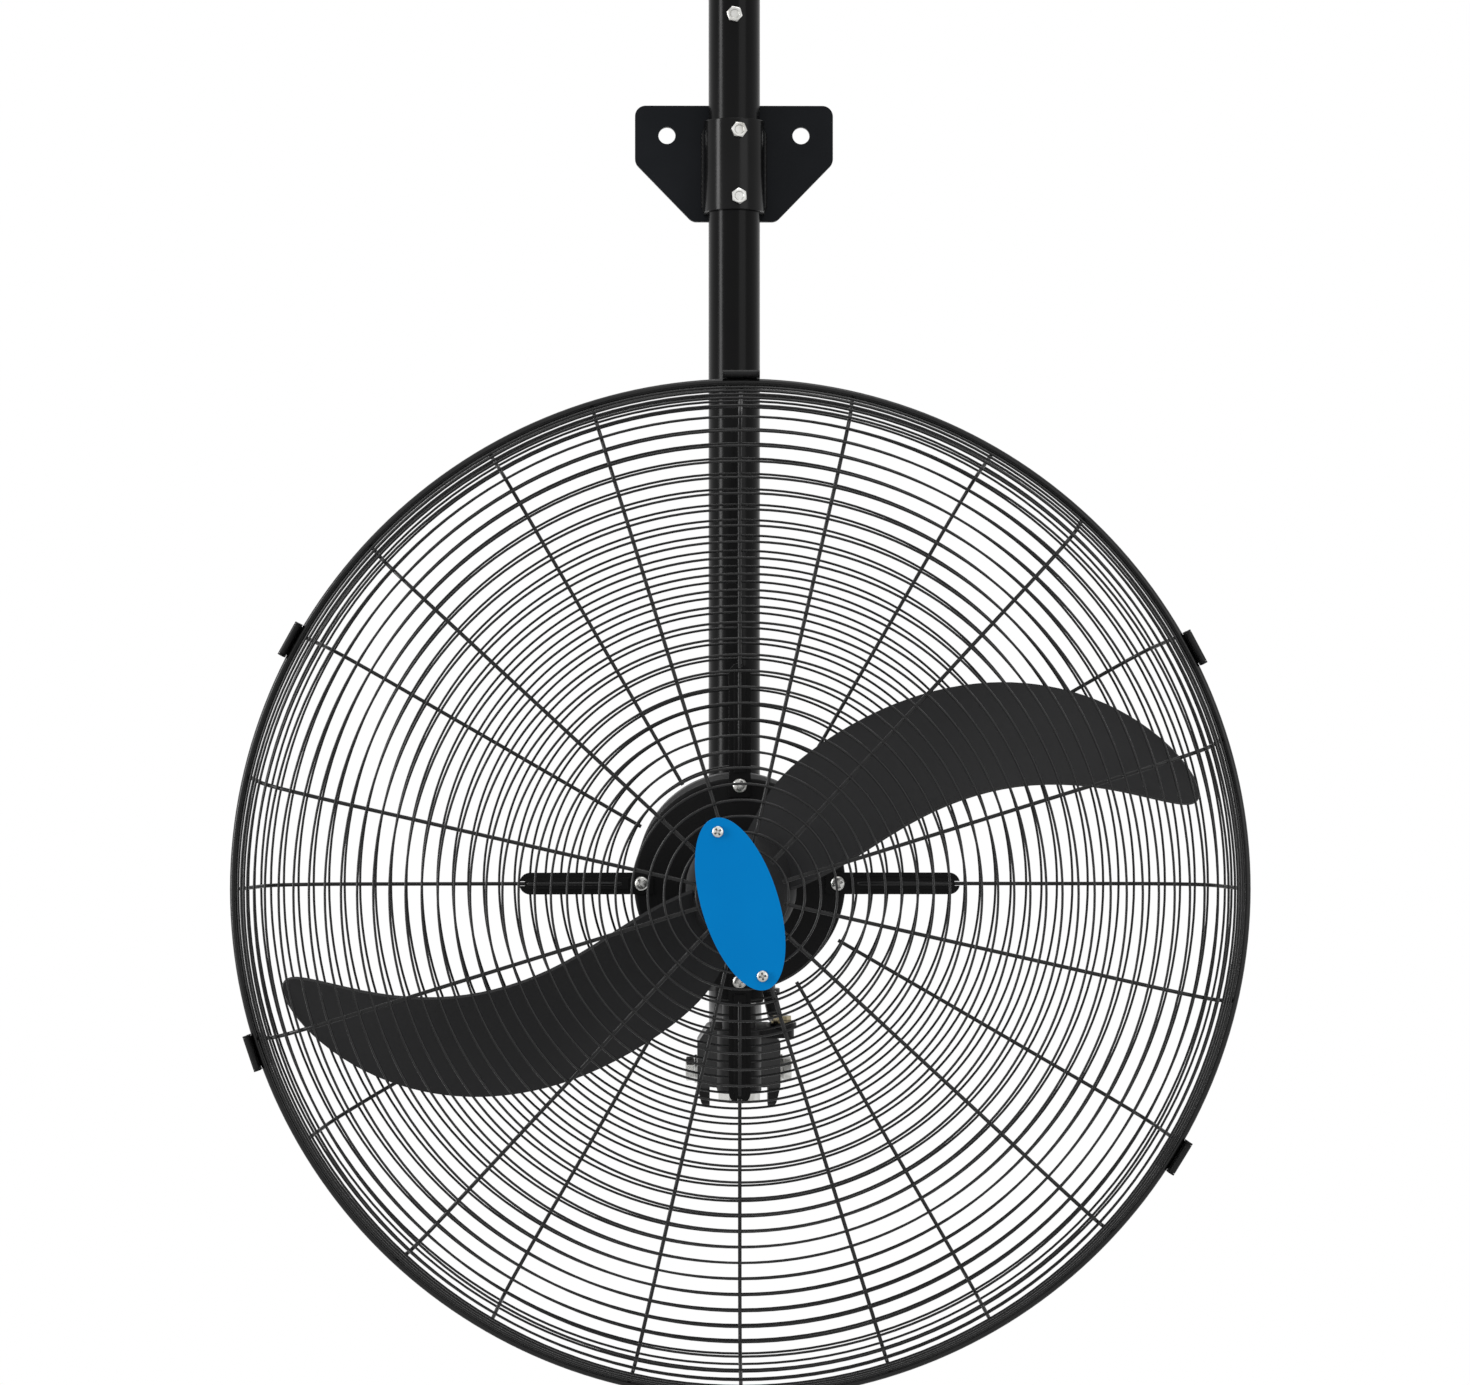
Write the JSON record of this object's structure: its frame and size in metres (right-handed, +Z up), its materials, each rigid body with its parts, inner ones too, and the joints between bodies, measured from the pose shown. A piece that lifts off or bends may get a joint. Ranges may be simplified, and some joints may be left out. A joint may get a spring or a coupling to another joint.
{
  "type": "oscillating wall fan",
  "caption": "Industrial oscillating wall fan with a welded wire guard, swept blades and a tilting head on a height-adjustable drop pole with a bolted wall plate.",
  "frame": {"origin": "on the wall, midway between the two bolt holes of the wall plate", "axes": "+Z up along the pole, +Y into the wall, the fan blows towards -Y, +X to the right of someone facing the fan"},
  "size_m": [0.82, 0.6147, 1.2651],
  "materials": {
    "black_paint": "satin black powder coat on steel",
    "black_casting": "satin black paint on cast aluminium",
    "black_iron": "satin black paint on cast iron",
    "zinc": "zinc plated steel",
    "steel": "bright machined steel",
    "bare_aluminium": "plain die casting",
    "copper_winding": "varnished copper winding",
    "blade_plastic": "charcoal moulded plastic",
    "green_plastic": "green moulded plastic",
    "black_plastic": "black moulded plastic",
    "cap_plastic": "black moulded plastic",
    "badge_blue": "glossy blue plate, plain",
    "dial_white": "white printed scale",
    "lug_brass": "yellow passivated steel"
  },
  "bodies": {
    "wall_mount": {"wall_plate": "black_paint", "pole_saddle": "black_paint", "saddle_set_bolts": "zinc"},
    "pole": {"drop_pole": "black_paint", "pole_top_cap": "cap_plastic", "pole_stop_bolt": "zinc"},
    "tilt_neck": {"neck_casting": "black_iron", "tilt_bolt": "zinc", "tilt_washers": "zinc", "tilt_nut": "zinc", "link_bolt": "lug_brass", "thrust_washer": "steel"},
    "head": {"motor_shell": "black_paint", "motor_front_plate": "black_casting", "rear_cover": "black_casting", "rear_shield": "bare_aluminium", "gear_case": "bare_aluminium", "front_bearing": "steel", "rear_bearing": "steel", "stator_core": "steel", "stator_coils": "copper_winding", "swivel_pin": "steel", "swivel_nut": "zinc", "dial_plate": "dial_white", "rear_guard_rim": "black_paint", "rear_guard_wall_rings": "black_paint", "rear_guard_face_rings": "black_paint", "rear_guard_inner_rings": "black_paint", "rear_guard_spokes": "black_paint", "front_guard_rim": "black_paint", "front_guard_wall_rings": "black_paint", "front_guard_face_rings": "black_paint", "front_guard_inner_rings": "black_paint", "front_guard_spokes": "black_paint", "guard_arms": "black_paint", "arm_screws": "zinc", "latch_brackets": "black_paint", "badge_plate": "badge_blue", "badge_screws": "zinc", "badge_clips": "black_paint"},
    "rotor": {"motor_shaft": "steel", "rotor_core": "steel", "shaft_sleeve": "green_plastic", "impeller": "blade_plastic", "hub_grub_screw": "steel"},
    "crank": {"crank_disc": "black_paint", "crank_pin": "steel"},
    "link": {"link_rod": "black_paint"},
    "speed_knob": {"speed_knob": "black_plastic"},
    "latch_1": {"latch_lever_1": "black_paint"},
    "latch_2": {"latch_lever_2": "black_paint"},
    "latch_3": {"latch_lever_3": "black_paint"},
    "latch_4": {"latch_lever_4": "black_paint"},
    "latch_5": {"latch_lever_5": "black_paint"},
    "latch_6": {"latch_lever_6": "black_paint"}
  },
  "joints": [
    {"name": "pole_height", "type": "slide", "parent": "wall_mount", "child": "pole", "axis": [0, 0, 1], "range_m": [-0.085, 0.4]},
    {"name": "head_tilt", "type": "hinge", "parent": "pole", "child": "tilt_neck", "pos_m": [0, -0.3553, -0.842], "axis": [1, 0, 0], "range_deg": [-8, 25]},
    {"name": "oscillation", "type": "hinge", "parent": "tilt_neck", "child": "head", "pos_m": [0, -0.4063, -0.791], "axis": [0, 0, 1], "range_deg": [-40, 40]},
    {"name": "blade_spin", "type": "hinge", "parent": "head", "child": "rotor", "pos_m": [0, -0.4303, -0.681], "axis": [0, -1, 0], "continuous": true},
    {"name": "crank_turn", "type": "hinge", "parent": "head", "child": "crank", "pos_m": [0, -0.2263, -0.781], "axis": [0, 0, 1], "range_deg": [-54, 54]},
    {"name": "link_turn", "type": "hinge", "parent": "crank", "child": "link", "pos_m": [0.02608, -0.21931, -0.786], "axis": [0, 0, 1], "range_deg": [-54, 54]},
    {"name": "speed_turn", "type": "hinge", "parent": "head", "child": "speed_knob", "pos_m": [0.095, -0.2243, -0.64], "axis": [1, 0, 0], "range_deg": [0, 135]},
    {"name": "latch_1_open", "type": "hinge", "parent": "head", "child": "latch_1", "pos_m": [0.36501, -0.53024, -0.48692], "axis": [0.4695, 0, -0.8829], "range_deg": [0, 100]},
    {"name": "latch_2_open", "type": "hinge", "parent": "head", "child": "latch_2", "pos_m": [0, -0.53024, -0.2676], "axis": [1, 0, 0], "range_deg": [0, 100]},
    {"name": "latch_3_open", "type": "hinge", "parent": "head", "child": "latch_3", "pos_m": [-0.36157, -0.53024, -0.48058], "axis": [0.4848, 0, 0.8746], "range_deg": [0, 100]},
    {"name": "latch_4_open", "type": "hinge", "parent": "head", "child": "latch_4", "pos_m": [-0.39204, -0.53024, -0.81217], "axis": [-0.3173, 0, 0.9483], "range_deg": [0, 100]},
    {"name": "latch_5_open", "type": "hinge", "parent": "head", "child": "latch_5", "pos_m": [0, -0.53024, -1.0944], "axis": [-1, 0, 0], "range_deg": [0, 100]},
    {"name": "latch_6_open", "type": "hinge", "parent": "head", "child": "latch_6", "pos_m": [0.35248, -0.53024, -0.897], "axis": [-0.5225, 0, -0.8526], "range_deg": [0, 100]}
  ],
  "couplings": [
    {"joint": "crank_turn", "follows": "oscillation", "ratio": -1.31},
    {"joint": "link_turn", "follows": "oscillation", "ratio": 1.33}
  ]
}
